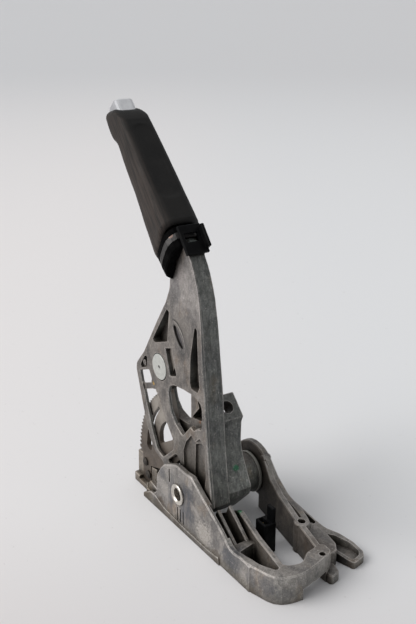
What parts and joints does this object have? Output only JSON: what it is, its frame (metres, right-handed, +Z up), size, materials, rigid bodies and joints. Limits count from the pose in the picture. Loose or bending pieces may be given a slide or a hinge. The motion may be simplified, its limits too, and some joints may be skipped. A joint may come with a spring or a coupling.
{
  "type": "parking brake lever",
  "caption": "Hand-operated parking brake lever: a ribbed cast lever with a padded grip and push button, a pawl on a toothed sector, and a cast floor bracket with feet",
  "frame": {"origin": "On the floor plane, under the pivot axis, in the middle of the bracket's near cheek", "axes": "+Z up; +X towards the bracket's front crosspiece, away from the grip; +Y from the near cheek to the far cheek, along the pivot axis"},
  "size_m": [0.2376, 0.0971, 0.3205],
  "materials": {
    "bracket_alloy": "as cast, dull and stained",
    "lever_alloy": "as cast, dull",
    "dark_steel": "oiled stamped steel",
    "bright_steel": "turned and plated",
    "yellow_zinc": "yellow passivated zinc",
    "bearing_plastic": "natural bearing plastic",
    "black_plastic": "moulded, fine grain",
    "grip_leather": "worn black grain leather",
    "silver_plastic": "silver painted"
  },
  "bodies": {
    "base": {"base_bracket": "bracket_alloy", "toothed_sector": "dark_steel", "sector_rivet_1": "bright_steel", "sector_rivet_2": "bright_steel", "pivot_tube": "bright_steel", "pivot_retainer": "dark_steel", "near_washer": "bright_steel", "far_washer": "bright_steel", "connector_housing": "black_plastic", "connector_pin_1": "yellow_zinc", "connector_pin_2": "yellow_zinc"},
    "lever": {"lever_casting": "lever_alloy", "near_bush": "bearing_plastic", "far_bush": "bearing_plastic", "pawl_pin": "bright_steel", "pin_clip": "dark_steel", "grip_cover": "grip_leather", "grip_core": "black_plastic", "collar_ring": "black_plastic", "clamp_band": "dark_steel", "collar_cap": "black_plastic", "boot_clip": "black_plastic", "rod_guide": "bearing_plastic", "button_spring": "bright_steel"},
    "pawl": {"pawl": "dark_steel", "pawl_spring": "yellow_zinc"},
    "button": {"push_button": "silver_plastic", "push_rod": "bright_steel"}
  },
  "joints": [
    {"name": "lever_hinge", "type": "hinge", "parent": "base", "child": "lever", "pos_m": [0, 0, 0.0295], "axis": [0, 1, 0], "range_deg": [-30.25, 2.75]},
    {"name": "button_slide", "type": "slide", "parent": "lever", "child": "button", "axis": [0.6845, 0, -0.729], "range_m": [0, 0.006], "stiffness_N_per_m": 800, "springref_m": -0.006, "deforming": ["button_spring"]},
    {"name": "pawl_hinge", "type": "hinge", "parent": "lever", "child": "pawl", "pos_m": [-0.0372, 0, 0.1225], "axis": [0, 1, 0], "range_deg": [0, 11.46]}
  ],
  "couplings": [
    {"joint": "pawl_hinge", "follows": "button_slide", "rad_per_m": 33.333}
  ]
}
